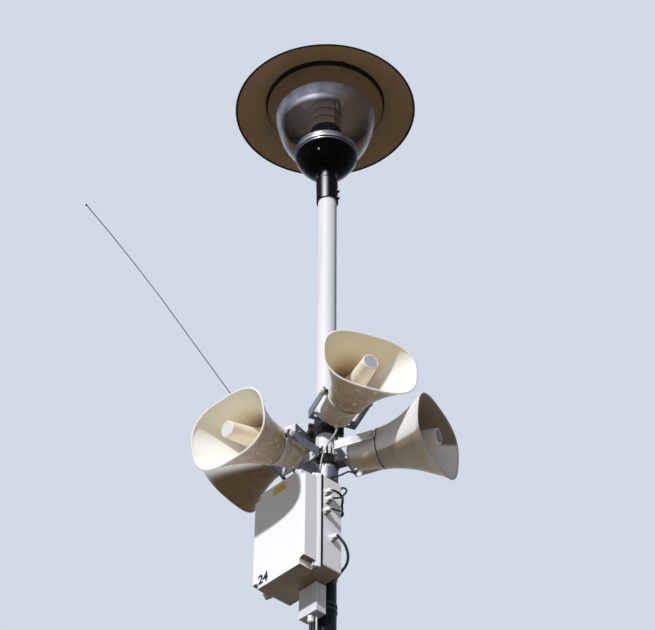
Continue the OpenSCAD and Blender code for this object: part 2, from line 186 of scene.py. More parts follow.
studio = {
    "keyStrength": 3.25,
    "keyAngle": math.radians(3),
    "keyFrom": Vector((-0.4045, -0.794, 0.454)),
    "fillStrength": 0.7,
    "fillAngle": math.radians(60),
    "fillFrom": Vector((-0.05, 0.93, 0.35)),
    "ambientAbove": (0.18, 0.215, 0.28),
    "ambientBelow": (0.262, 0.231, 0.198),
    "backdrop": (0.64, 0.70, 0.79),
    "floorColour": (0.78, 0.78, 0.77),
    "floorRadius": 3.6,
}


def addLamp(name, strength, angle, source):
    lamp = bpy.data.lights.new(name, "SUN")
    lamp.energy = strength
    lamp.angle = angle
    holder = bpy.data.objects.new(name, lamp)
    holder.matrix_world = source.to_track_quat("Z", "Y").to_matrix().to_4x4()
    bpy.context.collection.objects.link(holder)


def addWorld():
    world = bpy.data.worlds.new("studio")
    world.use_nodes = True
    world.node_tree.nodes.clear()
    bpy.context.scene.world = world
    sky = Graph(world.node_tree)
    seen = sky.add("LightPath", out="Is Camera Ray")
    for ray in ("Is Glossy Ray", "Is Transmission Ray"):
        seen = sky.maths("MAXIMUM", seen, sky.add("LightPath", out=ray))
    place = sky.add("TexCoord", out="Generated")
    height = sky.add("SeparateXYZ", sockets={"Vector": place}, out="Z")
    share = sky.add("MapRange", sockets={"Value": height, "From Min": -0.5, "From Max": 0.5})
    ambient = sky.mix(share, studio["ambientBelow"], studio["ambientAbove"])
    light = sky.add("Background", sockets={"Color": ambient})
    backdrop = sky.add("Background", sockets={"Color": studio["backdrop"]})
    shown = sky.add("MixShader", sockets={0: seen, 1: light, 2: backdrop})
    out = world.node_tree.nodes.new("ShaderNodeOutputWorld")
    join(world.node_tree, out.inputs["Surface"], shown)


bpy.context.scene.view_settings.view_transform = "Standard"
addCamera()
addWorld()
for light in ("key", "fill"):
    addLamp(light + "Light", *(studio[light + part] for part in ("Strength", "Angle", "From")))
print("camera and light placed")


# Materials

def scaled(colour, factor):
    return tuple(min(1, value * factor) for value in colour)


def whitePaint(finish):
    finish.feed(Roughness=0.45, Specular_IOR_Level=0.2)
    clean, grime = (0.77, 0.775, 0.80), (0.48, 0.47, 0.44)
    streaks = finish.patchy(60, 5, 0.52, 0.80, stretch=0.04)
    specks = finish.patchy(420, 3, 0.66, 0.74)
    paint = finish.mix(streaks * 0.4 + specks * 0.3, clean, grime)
    shadedSide = finish.ease(finish.towards(ways["right"]), 0.74, 0.94)  # the right side is painted in shade
    finish.colour(shadedSide * 0.85, paint, (0.20, 0.225, 0.27))
    finish.bump(240, 3, 0.08)


def darkPaint(finish):
    finish.feed(Specular_IOR_Level=0.06)
    patches = finish.noise(9, 5)
    dust = finish.patchy(38, 6, 0.50, 0.85, stretch=0.15)
    paint = finish.mix(patches, (0.006, 0.008, 0.012), (0.013, 0.017, 0.025))
    finish.colour(dust * 0.3, paint, (0.06, 0.06, 0.06))
    finish.feed(Roughness=0.34 + dust * 0.3)
    finish.bump(300, 3, 0.10)


def blackGloss(finish):  # the lamp's bowl
    finish.feed(Specular_IOR_Level=0.03)
    film = finish.patchy(26, 6, 0.45, 0.85)
    # small pale specks are painted glints
    paintedGlints = finish.patchy(300, 1, 0.765, 0.79)
    dirty = finish.mix(film * 0.15, (0.001, 0.001, 0.0015), (0.02, 0.019, 0.018))
    finish.colour(paintedGlints * 0.8, dirty, (0.30, 0.30, 0.29))
    finish.feed(Roughness=0.22 + film * 0.2)
    finish.bump(350, 2, 0.05)


def blackSatin(finish):  # the lamp's sleeve, with a painted highlight: a pale stripe on the side towards the key light
    finish.feed(Specular_IOR_Level=0.02)
    film = finish.patchy(40, 6, 0.45, 0.85, stretch=0.3)
    front = finish.maths("MAXIMUM", finish.towards((-0.262, -0.965, 0)), 0.0)
    paintedHighlight = front ** 46 * (0.85 + film * 0.15)
    black = finish.mix(film * 0.2, (0.003, 0.004, 0.006), (0.03, 0.028, 0.027))
    finish.colour(paintedHighlight, black, (0.88, 0.865, 0.90))
    finish.feed(Roughness=0.40 + film * 0.12)
    finish.bump(420, 3, 0.06)


def brightRim(finish):  # turned metal with a painted reflection: its colour is bright towards the front and dark on the sides
    finish.feed(Metallic=1.0)
    scratches = finish.noise(90, 5, stretch=12)
    front = finish.ease(finish.towards((-0.30, -0.95, 0)), 0.60, 0.98)
    polish = finish.mix(scratches, (0.34, 0.33, 0.33), (0.88, 0.88, 0.89))
    finish.colour(front, (0.10, 0.095, 0.095), polish)
    finish.feed(Roughness=0.22 + scratches * 0.2)


def louvreBronze(finish):
    finish.feed(Metallic=0.2, Specular_IOR_Level=0.3)
    turn = finish.maths("ARCTAN2", finish.spot("Y"), finish.spot("X"))
    wear = finish.noise(34, 5, stretch=5)
    bronze = finish.mix(wear, (0.33, 0.235, 0.165), (0.50, 0.37, 0.28))
    shadedRight = finish.ease(turn, -1.20, -1.10)  # its right side is painted in shade
    finish.colour(shadedRight * 0.75, bronze, (0.10, 0.06, 0.025))
    finish.feed(Roughness=0.40 + wear * 0.2)


def clearBowl(finish):  # a dusty film that mirrors the sky, thick where it is seen edge on; the pale band near the rim on its front left is a painted reflection
    finish.feed(Metallic=1.0, Roughness=0.62)
    glance = finish.add("LayerWeight", sockets={"Blend": 0.5}, out="Facing")
    dust = finish.patchy(26, 6, 0.20, 0.80, stretch=0.5)
    edges = finish.ease(glance, 0.48, 0.95) * 0.50
    left = finish.ease(0 - finish.spot("X"), -0.115, 0.06)
    front = finish.ease(0 - finish.spot("Y"), -0.05, 0.03)
    # painted reflection: a pale band near the rim on the bowl's front left
    top = finish.ease(finish.spot("Z"), 6.226, 6.268) * left * front * 0.60
    # dust runs, which also stand in for glints
    runs = finish.patchy(60, 3, 0.60, 0.80, stretch=0.05)
    share = (edges + top) * (0.55 + dust * 0.45) + runs * 0.10 + 0.012
    film = finish.mix(dust, (0.62, 0.66, 0.80), (0.90, 0.92, 1.0))
    finish.feed(Base_Color=film, Alpha=share)


def brownPaint(finish, paintedShade):
    finish.feed(Roughness=0.7, Specular_IOR_Level=0.1)
    patches = finish.patchy(5, 6, 0.30, 0.75)
    rust = finish.patchy(17, 6, 0.62, 0.80)
    light, dark = (0.290, 0.198, 0.108), (0.240, 0.162, 0.086)
    paint = finish.mix(patches, scaled(dark, paintedShade), scaled(light, paintedShade))
    finish.colour(rust * 0.35, paint, scaled((0.14, 0.07, 0.03), paintedShade))
    finish.bump(160, 4, 0.12)


def panInside(finish):  # painted shade: darker to the left, where less light comes in through the bowl
    finish.feed(Roughness=0.7, Specular_IOR_Level=0.1)
    folds = finish.patchy(24, 4, 0.30, 0.70, stretch=0.1)
    side = finish.ease(finish.spot("X"), -0.20, 0.02)
    shadedFolds = finish.mix(folds, (0.085, 0.066, 0.045), (0.14, 0.11, 0.08))
    finish.colour(side, shadedFolds, (0.27, 0.215, 0.155))


def hatEdge(finish):
    finish.feed(Roughness=0.6, Specular_IOR_Level=0.1)
    wear = finish.patchy(50, 4, 0.5, 0.8)
    finish.colour(wear * 0.4, (0.012, 0.009, 0.006), (0.045, 0.036, 0.026))


def hatTop(finish):
    finish.feed(Roughness=0.55, Specular_IOR_Level=0.3)
    whitening = finish.patchy(9, 6, 0.40, 0.80)
    moss = finish.patchy(36, 6, 0.60, 0.75)
    whitened = finish.mix(whitening * 0.6, (0.035, 0.030, 0.026), (0.11, 0.10, 0.09))
    finish.colour(moss * 0.4, whitened, (0.09, 0.09, 0.05))
    finish.bump(200, 4, 0.12)


def galvanised(finish):
    finish.feed(Metallic=0.12, Specular_IOR_Level=0.3)
    spangle = finish.add("TexVoronoi", sockets={"Vector": finish.place, "Scale": 95.0}, out="Color")
    tone = finish.add("RGBToBW", sockets={"Color": spangle})
    blotches = finish.patchy(48, 6, 0.20, 0.60)
    # painted glints: faces towards the key light are painted pale, broken by white-rust blotches
    whitening = finish.ease(finish.toSun(), 0.66, 0.86) * (0.7 + blotches * 0.3)
    grime = finish.patchy(22, 5, 0.50, 0.75)
    zinc = finish.mix(tone, (0.13, 0.15, 0.19), (0.22, 0.25, 0.30))
    glintPainted = finish.mix(whitening * 0.9, zinc, (0.86, 0.86, 0.87))
    finish.colour(grime * 0.4, glintPainted, (0.15, 0.13, 0.10))
    finish.feed(Roughness=0.40 + tone * 0.12 + whitening * 0.2)
    finish.bump(210, 4, 0.12)


def darkSteel(finish):
    finish.feed(Metallic=0.2, Specular_IOR_Level=0.3)
    grime = finish.patchy(40, 6, 0.40, 0.75)
    flakes = finish.patchy(130, 5, 0.62, 0.72)
    steel = finish.mix(grime, (0.012, 0.012, 0.013), (0.050, 0.040, 0.024))
    finish.colour(flakes * 0.4, steel, (0.22, 0.21, 0.20))
    finish.feed(Roughness=0.45 + grime * 0.3)
    finish.bump(260, 5, 0.2)


def slottedCollar(finish):
    finish.feed(Metallic=0.2)
    wear = finish.patchy(120, 5, 0.50, 0.75, stretch=0.4)
    finish.colour(wear * 0.6, (0.80, 0.80, 0.81), (0.42, 0.40, 0.37))
    finish.feed(Roughness=0.38 + wear * 0.2)
    finish.bump(300, 3, 0.10)


def hornPlastic(finish, tint):
    finish.feed(Roughness=0.5, Specular_IOR_Level=tint["gloss"])
    finish.feed(Subsurface_Weight=0.35, Subsurface_Radius=(1.0, 0.90, 0.78), Subsurface_Scale=0.007)
    inside, along, sun = finish.reading("inside"), finish.reading("along"), finish.toSun()
    patches = finish.patchy(8, 5, 0.20, 0.85)
    cream = finish.mix(patches, tint["inside"], scaled(tint["inside"], 1.05))
    # painted shade: faces turned down inside the horn are darkened, by 1 - roof
    roofShade = finish.ease(finish.towards(ways["down"]), -0.2, 0.6) * (1 - tint["roof"])
    roof = finish.mix(roofShade, cream, (0.16, 0.115, 0.055))
    # darker deep in the throat: dirt and painted shade
    throat = finish.mix((1 - along) ** 2.2 * 0.9, roof, (0.34, 0.22, 0.11))
    ringNoise = {"W": along * 6, "Scale": 1.0, "Detail": 2.0}
    rings = finish.add("TexNoise", {"noise_dimensions": "1D"}, ringNoise)
    banded = finish.mix(finish.ease(rings, 0.38, 0.62) * 0.6, tint["outside"], tint["bands"])
    dirt = finish.patchy(34, 7, 0.40, 0.80, stretch=0.5)
    soiled = finish.mix(dirt * tint["dirt"], banded, scaled(tint["outside"], 0.45))
    scuffs = finish.patchy(62, 7, 0.545, 0.60, rough=0.68)
    groups = finish.patchy(11, 2, 0.40, 0.60)
    peeled = finish.mix(scuffs * groups * tint["flakes"], soiled, (0.76, 0.70, 0.58))
    shell = finish.mix(inside, peeled, throat)
    # painted light: upward faces of the outside and faces towards the key light are painted pale
    ragged = finish.towards(ways["up"]) + (finish.noise(46, 6, stretch=0.5) - 0.5) * 1.4
    paintedTopLight = finish.ease(ragged, *tint["paintedTopLight"]) * (1 - inside)
    paintedSunlight = finish.ease(sun, *tint["paintedSunRange"]) * 0.92
    whitened = finish.maths("MAXIMUM", paintedSunlight, paintedTopLight * 0.8)
    withPaintedSun = finish.mix(whitened, shell, (0.94, 0.92, 0.87))
    # painted highlight: the mouth's lip is painted pale, strongly on the lit horns
    lip = finish.ease(along, 0.985, 0.999)
    withLitLip = finish.mix(lip * tint["edge"], withPaintedSun, (0.93, 0.90, 0.83))
    specks = finish.patchy(260, 5, 0.66, 0.76)
    finish.colour(specks * 0.25, withLitLip, (0.40, 0.33, 0.24))
    finish.bump(520, 3, 0.06)


def driverPlastic(finish, tint):
    finish.feed(Roughness=0.55, Specular_IOR_Level=0.15)
    patches = finish.patchy(12, 5, 0.25, 0.80)
    beige = finish.mix(patches, scaled(tint["driver"], 0.86), tint["driver"])
    dirt = finish.patchy(44, 6, 0.45, 0.75)
    soiled = finish.mix(dirt * tint["dirt"], beige, (0.16, 0.13, 0.08))
    # painted light: faces towards the key light are painted pale
    paintedSunlight = finish.ease(finish.toSun(), 0.08, 0.50)
    finish.colour(paintedSunlight * 0.85, soiled, (0.90, 0.88, 0.83))
    finish.bump(480, 3, 0.08)


def plugPlastic(finish):
    finish.feed(Roughness=0.5, Specular_IOR_Level=0.2)
    patches = finish.patchy(14, 5, 0.20, 0.85)
    cream = finish.mix(patches, (0.84, 0.74, 0.57), (0.90, 0.82, 0.67))
    # painted light: faces towards the key light are painted pale
    paintedSunlight = finish.ease(finish.toSun(), 0.15, 0.75)
    withPaintedSun = finish.mix(paintedSunlight * 0.7, cream, (0.90, 0.88, 0.81))
    specks = finish.patchy(260, 5, 0.66, 0.76)
    finish.colour(specks * 0.2, withPaintedSun, (0.45, 0.38, 0.28))
    finish.bump(520, 3, 0.06)


capTints = {
    "capGrey": {"dark": (0.36, 0.38, 0.42), "light": (0.46, 0.48, 0.53), "gloss": 0.3},
    "capPale": {"dark": (0.74, 0.75, 0.78), "light": (0.82, 0.83, 0.86), "gloss": 0.5},
    "capSlate": {"dark": (0.060, 0.066, 0.080), "light": (0.10, 0.11, 0.13), "gloss": 0.3},
}


def capPlastic(finish, tint):
    finish.feed(Roughness=0.4, Specular_IOR_Level=tint["gloss"])
    finish.colour(finish.noise(120, 4), tint["dark"], tint["light"])


# painted shade under the cabinet, with blotchy stains
def sootAndShade(finish):
    patches = finish.patchy(12, 6, 0.30, 0.75)
    return finish.mix(patches, (0.20, 0.155, 0.098), (0.13, 0.098, 0.056))


def cabinetShell(finish):
    finish.feed(Roughness=0.42, Specular_IOR_Level=0.2)
    wash = finish.patchy(20, 5, 0.45, 0.85, stretch=0.12)
    shell = finish.mix(wash * 0.2, (0.89, 0.895, 0.91), (0.68, 0.67, 0.65))
    grubbyAndShaded = finish.grimyAndShadedUnder(shell, sootAndShade(finish))
    specks = finish.patchy(300, 4, 0.66, 0.74)
    finish.colour(specks * 0.15, grubbyAndShaded, (0.30, 0.28, 0.25))
    finish.bump(700, 2, 0.03)


# a brighter copy of the cabinet's white, painted light for the sunlit side of the base
def cabinetSide(finish):
    finish.feed(Roughness=0.42, Specular_IOR_Level=0.2)
    wash = finish.patchy(24, 5, 0.40, 0.85, stretch=0.15)
    shell = finish.mix(wash * 0.2, (0.95, 0.955, 0.965), (0.68, 0.67, 0.64))
    finish.feed(Base_Color=finish.grimyAndShadedUnder(shell, sootAndShade(finish)))
    finish.bump(700, 2, 0.03)


# a brighter copy of the cabinet's white, painted light for the rim's sunlit edge
def rimPlastic(finish):
    finish.feed(Roughness=0.42, Specular_IOR_Level=0.2)
    wear = finish.patchy(40, 5, 0.50, 0.85)
    shell = finish.mix(wear * 0.2, (0.97, 0.97, 0.98), (0.80, 0.79, 0.77))
    finish.feed(Base_Color=finish.grimyAndShadedUnder(shell, (0.18, 0.14, 0.09)))


# a greyer, bluer copy of the cabinet's white, painted shade for the box in the cabinet's shadow
def boxShell(finish):
    finish.feed(Roughness=0.45, Specular_IOR_Level=0.2)
    wash = finish.patchy(30, 5, 0.40, 0.85, stretch=0.2)
    shell = finish.mix(wash * 0.3, (0.76, 0.775, 0.81), (0.50, 0.49, 0.47))
    finish.feed(Base_Color=finish.grimyAndShadedUnder(shell, (0.14, 0.12, 0.09), 0.8))
    finish.bump(500, 2, 0.04)


def patchYellow(finish):
    finish.feed(Roughness=0.5, Specular_IOR_Level=0.3)
    worn = finish.patchy(60, 6, 0.50, 0.66)
    whitened = finish.mix(finish.noise(30, 4), (0.78, 0.44, 0.015), (0.85, 0.60, 0.10))
    finish.colour(worn * 0.6, whitened, (0.62, 0.60, 0.54))


def numberBlack(finish):
    finish.feed(Roughness=0.5, Specular_IOR_Level=0.2)
    worn = finish.patchy(140, 5, 0.64, 0.78)
    finish.colour(worn * 0.5, (0.006, 0.006, 0.007), (0.25, 0.25, 0.25))


def rubberBlack(finish):
    finish.feed(Specular_IOR_Level=0.3)
    dust = finish.patchy(80, 4, 0.40, 0.80)
    finish.colour(dust * 0.4, (0.010, 0.010, 0.012), (0.06, 0.058, 0.054))
    finish.feed(Roughness=0.45 + dust * 0.25)


def cableGrey(finish):
    finish.feed(Roughness=0.5)
    dust = finish.patchy(90, 4, 0.35, 0.80)
    finish.colour(dust * 0.5, (0.62, 0.62, 0.62), (0.40, 0.38, 0.35))


def antennaBlack(finish):
    finish.feed(Specular_IOR_Level=0.3)
    wear = finish.patchy(70, 4, 0.50, 0.80, stretch=0.3)
    finish.colour(wear * 0.4, (0.012, 0.013, 0.015), (0.07, 0.07, 0.07))
    finish.feed(Roughness=0.36 + wear * 0.2)


def floorPaint(finish):
    finish.feed(Roughness=0.8)
    mottle = finish.noise(2, 4)
    pale = studio["floorColour"]
    finish.colour(mottle, pale, scaled(pale, 0.95))


# the horns are one plastic: their inside, outside and driver colours are partly weathering and partly
# painted light and shade, the top and left horns painted lit, the right and back horns painted in shade
hornTintsAndShades = {
    "top": {
        "inside": (1.0, 0.85, 0.63), "roof": 0.99, "outside": (0.41, 0.30, 0.175),
        "bands": (0.35, 0.27, 0.175), "driver": (0.52, 0.42, 0.27), "dirt": 0.45, "flakes": 0.8,
        "gloss": 0.15, "paintedSunRange": (0.14, 0.42), "paintedTopLight": (0.12, 0.50), "edge": 0.9, "cap": "capGrey",
    },
    "left": {
        "inside": (1.0, 0.90, 0.72), "roof": 1.0, "outside": (0.475, 0.365, 0.235),
        "bands": (0.41, 0.325, 0.22), "driver": (0.66, 0.56, 0.45), "dirt": 0.50, "flakes": 0.6,
        "gloss": 0.15, "paintedSunRange": (0.14, 0.42), "paintedTopLight": (-0.25, 0.40), "edge": 0.9, "cap": "capPale",
    },
    "right": {
        "inside": (0.56, 0.53, 0.48), "roof": 0.25, "outside": (0.44, 0.37, 0.275),
        "bands": (0.34, 0.29, 0.21), "driver": (0.46, 0.375, 0.25), "dirt": 0.25, "flakes": 0.05,
        "gloss": 0.15, "paintedSunRange": (0.30, 0.44), "paintedTopLight": (0.12, 0.50), "edge": 0.15, "cap": "capSlate",
    },
    "back": {
        "inside": (0.70, 0.59, 0.43), "roof": 0.80, "outside": (0.215, 0.15, 0.072),
        "bands": (0.19, 0.135, 0.07), "driver": (0.42, 0.34, 0.23), "dirt": 0.40, "flakes": 0.0,
        "gloss": 0.08, "paintedSunRange": (-0.16, 0.28), "paintedTopLight": (0.12, 0.50), "edge": 0.2, "cap": "capGrey",
    },
}

finishes = {}


def addFinish(name, recipe, *tints):
    finish = Finish(name)
    recipe(finish, *tints)
    finishes[name] = finish.material


for recipe in (
    whitePaint, darkPaint, blackGloss, blackSatin, brightRim, louvreBronze, clearBowl, panInside,
    hatEdge, hatTop, galvanised, darkSteel, slottedCollar, plugPlastic, cabinetShell, cabinetSide,
    rimPlastic, boxShell, patchYellow, numberBlack, rubberBlack, cableGrey, antennaBlack, floorPaint,
):
    addFinish(recipe.__name__, recipe)
# the pan is painted darker than the hat, for the shade in its recess
for name, paintedShade in (("hatPaint", 1.0), ("panPaint", 0.80)):
    addFinish(name, brownPaint, paintedShade)
for name, tint in capTints.items():
    addFinish(name, capPlastic, tint)
for name, tint in hornTintsAndShades.items():
    addFinish(name + "Plastic", hornPlastic, tint)
    addFinish(name + "Driver", driverPlastic, tint)
print("materials made:", len(finishes))


# Making and seating pieces

def seat(piece, body, materials, nodes=(), smoothAngle=35):
    for name in materials:
        piece.data.materials.append(finishes[name])
    for face in piece.data.polygons:
        face.use_smooth = True
    piece.data.set_sharp_from_angle(angle=math.radians(smoothAngle))
    bpy.context.collection.objects.link(piece)
    if body:
        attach(piece, body)
    if nodes:
        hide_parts(*nodes)
    return piece


def toPiece(name, work, place=None):
    if place:
        bmesh.ops.transform(work, matrix=place, verts=work.verts)
    mesh = bpy.data.meshes.new(name)
    work.to_mesh(mesh)
    work.free()
    return bpy.data.objects.new(name, mesh)


def rounded(piece, width, segments=2, angle=30):
    bevel = piece.modifiers.new("softEdges", "BEVEL")
    bevel.width = width
    bevel.segments = segments
    bevel.limit_method = "ANGLE"
    bevel.angle_limit = math.radians(angle)
    bevel.harden_normals = True
    return piece


def fromAxis(face):  # a turned face's distance from the axis and its height
    centre = face.calc_center_median()
    return math.hypot(centre.x, centre.y), centre.z


def turned(outline, steps=96, closed=False):
    work = bmesh.new()
    corners = [work.verts.new((radius, 0, height)) for radius, height in outline]
    pairs = list(zip(corners, corners[1:]))
    if closed:
        pairs.append((corners[-1], corners[0]))
    edges = [work.edges.new(pair) for pair in pairs]
    bmesh.ops.spin(
        work, geom=corners + edges, cent=(0, 0, 0), axis=(0, 0, 1),
        angle=2 * math.pi, steps=steps, use_merge=True,
    )
    bmesh.ops.remove_doubles(work, verts=work.verts, dist=1e-6)
    bmesh.ops.recalc_face_normals(work, faces=work.faces)
    return work


def softBox(size, width, segments, along=None):  # along: the axis of the edges that are rounded
    work = bmesh.new()
    bmesh.ops.create_cube(work, size=1)
    bmesh.ops.scale(work, vec=size, verts=work.verts)
    edges = list(work.edges)
    if along is not None:
        edges = [edge for edge in edges if edge.verts[0].co[along] != edge.verts[1].co[along]]
    bmesh.ops.bevel(
        work, geom=edges, offset=width, offset_type="OFFSET", segments=segments, profile=0.5,
        affect="EDGES", material=-1,
    )
    return work


def copyOf(node, name, body, materials, edge=0.0006):
    work = bmesh.new()
    work.from_mesh(frame["nodes"][node].data)
    bmesh.ops.remove_doubles(work, verts=work.verts, dist=1e-6)
    bmesh.ops.dissolve_limit(
        work, angle_limit=math.radians(0.4), verts=work.verts, edges=work.edges,
        delimit={"NORMAL"},
    )
    piece = seat(toPiece(name, work), body, materials, [node])
    if edge:
        rounded(piece, edge)
    return piece


def mm(*values):
    return tuple(value / 1000 for value in values)


# Column

columnParts = {
    "base_plate": ("columnPlate", "darkPaint", 0.0015),
    "base_shaft": ("columnBase", "darkPaint", 0.001),
    "service_door": ("columnDoor", "darkPaint", 0.0008),
    "lower_mast": ("columnLower", "darkPaint", 0.001),
    "upper_mast": ("columnUpper", "whitePaint", 0.0006),
}


def buildColumn():
    for node, (name, finish, edge) in columnParts.items():
        copyOf(node, name, "root", [finish], edge)


# Lamp

lamp = {
    "foot": 5.9,
    "lean": math.radians(1.2),
    "satinBelow": 0.1262,
    "rimRadius": 0.103,
    "rimFoot": 0.204,
    "louvreRadius": 0.052,
    "louvreFoot": 0.323,
    "louvreHead": 0.450,
    "louvrePitch": 0.0363,
    "glassRadius": 0.1645,
    "glassWall": 0.003,
    "hatRadius": 0.3001,
    "brim": 0.425,
    "recess": 0.197,
    "panFoot": (0.165, 0.3975),
    "panHead": 0.452,
    "jointDeep": 0.0045,
    "latchTurn": math.radians(-73),
    "latchSpot": (0.1866, 0, 0.4346),
    "latchSize": (0.0008, 0.0026, 0.019),
    "screwTurn": math.radians(-108),
    "screwTilt": math.radians(126),
    "screwSpot": (0.0824, 0, 0.1700),
}


def buildLamp():
    place = Matrix.Translation((0, 0, lamp["foot"])) @ Matrix.Rotation(-lamp["lean"], 4, "Y")
    copyOf("lamp_socket", "lampSleeve", "root", ["blackSatin"], 0.0005)
    rim, foot = lamp["rimRadius"], lamp["rimFoot"]
    bowl = [
        (0, 0.113), (0.0262, 0.113), (0.0268, 0.119), (0.0290, 0.1258), (0.0335, 0.1318),
        (0.0400, 0.1366), (0.048, 0.1405), (0.058, 0.1462), (0.070, 0.1558), (0.081, 0.168),
        (0.0888, 0.1788), (0.095, 0.190), (0.0990, 0.1985), (rim - 0.0030, foot - 0.0028),
        (rim - 0.0014, foot - 0.0016), (rim - 0.0012, foot), (rim - 0.014, foot),
        (rim - 0.014, foot + 0.016), (0, foot + 0.016),
    ]
    work = turned(bowl)
    for face in work.faces:
        across, height = fromAxis(face)
        lip = foot - 0.004 < height < foot - 0.0004 and across > rim - 0.006
        face.material_index = 2 if lip else int(height < lamp["satinBelow"])
    piece = toPiece("lampBase", work, place)
    paints = ["blackGloss", "blackSatin", "brightRim"]
    rounded(seat(piece, "root", paints, ["lamp_base_bowl"], smoothAngle=50), 0.0004)
    buildScrew(place)
    ridge, groove = rim + 0.0003, rim - 0.0012
    ring = [
        (rim - 0.014, foot), (rim - 0.0020, foot), (groove, foot + 0.0010), (groove, foot + 0.0062),
        (ridge, foot + 0.0082), (ridge, foot + 0.0160), (rim - 0.0008, foot + 0.0172),
        (rim - 0.0008, foot + 0.0186), (rim + 0.0012, foot + 0.0204),
        (rim + 0.0012, foot + 0.0262), (rim, foot + 0.0290), (rim - 0.014, foot + 0.0290),
    ]
    work = turned(ring, closed=True)
    for face in work.faces:
        face.material_index = int(fromAxis(face)[1] < foot + 0.0066)
    piece = toPiece("lampRim", work, place)
    rounded(seat(piece, "root", ["brightRim", "blackGloss"], ["bowl_ring"]), 0.0005, segments=3)
    copyOf("lamp_inner_cap", "lampCap", "root", ["blackGloss"], 0.001)
    buildLouvre(place)
    buildGlass(place)
    buildHat(place)


def buildScrew(place):  # the screw head in the bowl's front, square to the bowl's slope
    head = [
        (0, -0.001), (0.0030, -0.001), (0.0030, 0.0006), (0.0024, 0.0014), (0.0012, 0.0017),
        (0, 0.0017),
    ]
    spot = Matrix.Rotation(lamp["screwTurn"], 4, "Z") @ Matrix.Translation(lamp["screwSpot"])
    leaning = spot @ Matrix.Rotation(lamp["screwTilt"], 4, "Y")
    piece = toPiece("bowlScrew", turned(head, steps=24), place @ leaning)
    seat(piece, "root", ["slottedCollar"])


def buildLouvre(place):
    radius, foot, head = lamp["louvreRadius"], lamp["louvreFoot"], lamp["louvreHead"]
    outline = [(0, foot)]
    while foot < head - 0.004:
        top = min(foot + lamp["louvrePitch"], head)
        outline += [
            (radius - 0.0045, foot), (radius - 0.0006, foot + 0.0030), (radius, foot + 0.0045),
            (radius, top - 0.0040), (radius - 0.0012, top - 0.0020), (radius - 0.0045, top - 0.0012),
        ]
        foot = top
    work = turned(outline + [(radius - 0.0045, head), (0, head)])
    for face in work.faces:
        face.material_index = int(fromAxis(face)[0] < radius - 0.0008)  # the joints are dark
    piece = toPiece("lampLouvre", work, place)
    seat(piece, "root", ["louvreBronze", "hatEdge"], ["louvre_stack"], smoothAngle=40)


def buildGlass(place):
    outer = [
        (0.101, 0.233), (0.1096, 0.2425), (0.120, 0.255), (0.1288, 0.2682), (0.136, 0.282),
        (0.1427, 0.2965), (0.148, 0.311), (0.1524, 0.326), (0.156, 0.341), (0.1588, 0.356),
        (0.161, 0.371), (0.1628, 0.3852), (lamp["glassRadius"], 0.400),
    ]
    wall = lamp["glassWall"]
    inner = [(radius - wall, height) for radius, height in reversed(outer)]
    piece = toPiece("lampGlass", turned(outer + inner, steps=128, closed=True), place)
    seat(piece, "root", ["clearBowl"], ["clear_bowl"], smoothAngle=50)


def buildHat(place):
    radius, brim, recess = lamp["hatRadius"], lamp["brim"], lamp["recess"]
    shell = [
        (0, 0.5255), (0.050, 0.5235), (0.080, 0.520), (0.109, 0.5155), (0.135, 0.5085),
        (0.158, 0.4995), (0.171, 0.492), (recess - 0.0155, 0.482), (recess - 0.009, 0.473),
        (recess - 0.003, 0.4625), (recess + 0.0022, 0.4602), (radius - 0.0075, brim + 0.0021),
        (radius - 0.003, brim), (radius - 0.0008, brim), (radius, brim + 0.0008),
        (radius, brim + 0.0022), (radius - 0.002, brim + 0.0036), (recess + 0.003, 0.4642),
        (recess - 0.0025, 0.4662), (recess - 0.006, 0.472), (recess - 0.013, 0.484),
        (recess - 0.023, 0.4935), (0.160, 0.502), (0.137, 0.511), (0.110, 0.518), (0.080, 0.5226),
        (0.050, 0.526), (0.020, 0.5274), (0, 0.5276),
    ]
    work = turned(shell, steps=160)
    for face in work.faces:
        across, height = fromAxis(face)
        # the step's downward faces are painted black, for the shade under the brim; the brim's edge bead
        # is black
        step = recess - 0.004 < across < recess + 0.0024 and face.normal.z < 0
        if step or across > radius - 0.0060:
            face.material_index = 1
        elif face.normal.z > 0:
            face.material_index = 2
    piece = toPiece("lampHat", work, place)
    seat(piece, "root", ["hatPaint", "hatEdge", "hatTop"], ["lamp_hat"], smoothAngle=40)
    buildPan(place)


def buildPan(place):
    recess, head = lamp["recess"], lamp["panHead"]
    pan = copyOf("hat_pan", "lampPan", "root", ["panPaint", "panInside", "hatEdge"], 0.0005)
    level = place.inverted()
    for face in pan.data.polygons:
        centre, normal = level @ face.center, level.to_3x3() @ face.normal
        across = math.hypot(centre.x, centre.y)
        inward = centre.x * normal.x + centre.y * normal.y < 0
        # the pan's outer wall and hidden top are painted black, for the shade under the brim
        if across > recess - 0.0006 or centre.z > head - 0.0005:
            face.material_index = 2
        elif across < recess - 0.0065 and (inward or centre.z > head - 0.0025):
            face.material_index = 1
    slope = math.atan2(recess - lamp["panFoot"][0], head - lamp["panFoot"][1])
    buildPanJoint(place, slope)
    leaning = Matrix.Rotation(lamp["latchTurn"], 4, "Z") @ Matrix.Translation(lamp["latchSpot"])
    work = softBox(lamp["latchSize"], 0.0003, 2)
    piece = toPiece("panLatch", work, place @ leaning @ Matrix.Rotation(slope, 4, "Y"))
    seat(piece, "root", ["hatEdge"])


